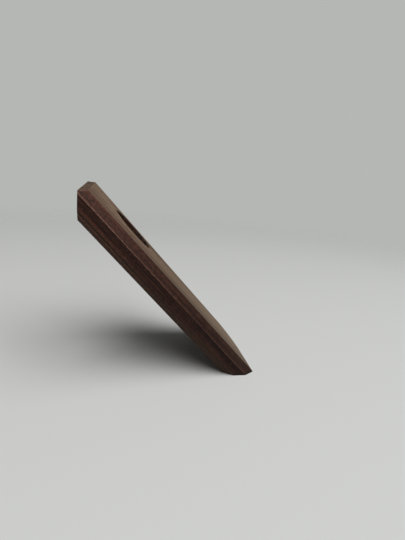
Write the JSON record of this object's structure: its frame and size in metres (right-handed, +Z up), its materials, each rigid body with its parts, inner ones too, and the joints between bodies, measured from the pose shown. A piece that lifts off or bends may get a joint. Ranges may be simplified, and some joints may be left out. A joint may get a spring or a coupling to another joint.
{
  "type": "wine bottle holder",
  "caption": "Leaning walnut board with bevelled long edges, a level foot cut and a round neck hole; it balances a wine bottle held by its neck.",
  "frame": {"origin": "middle of the foot face, the level cut that stands on the table", "axes": "+Z up; the board leans towards -X as it rises, so its wide front face looks along +X and up; +Y across the board, towards the side that the neck hole is nearer to"},
  "size_m": [0.142, 0.1058, 0.1391],
  "materials": {
    "walnut": "satin oiled dark walnut"
  },
  "bodies": {
    "root": {"holder_board": "walnut"}
  },
  "joints": []
}
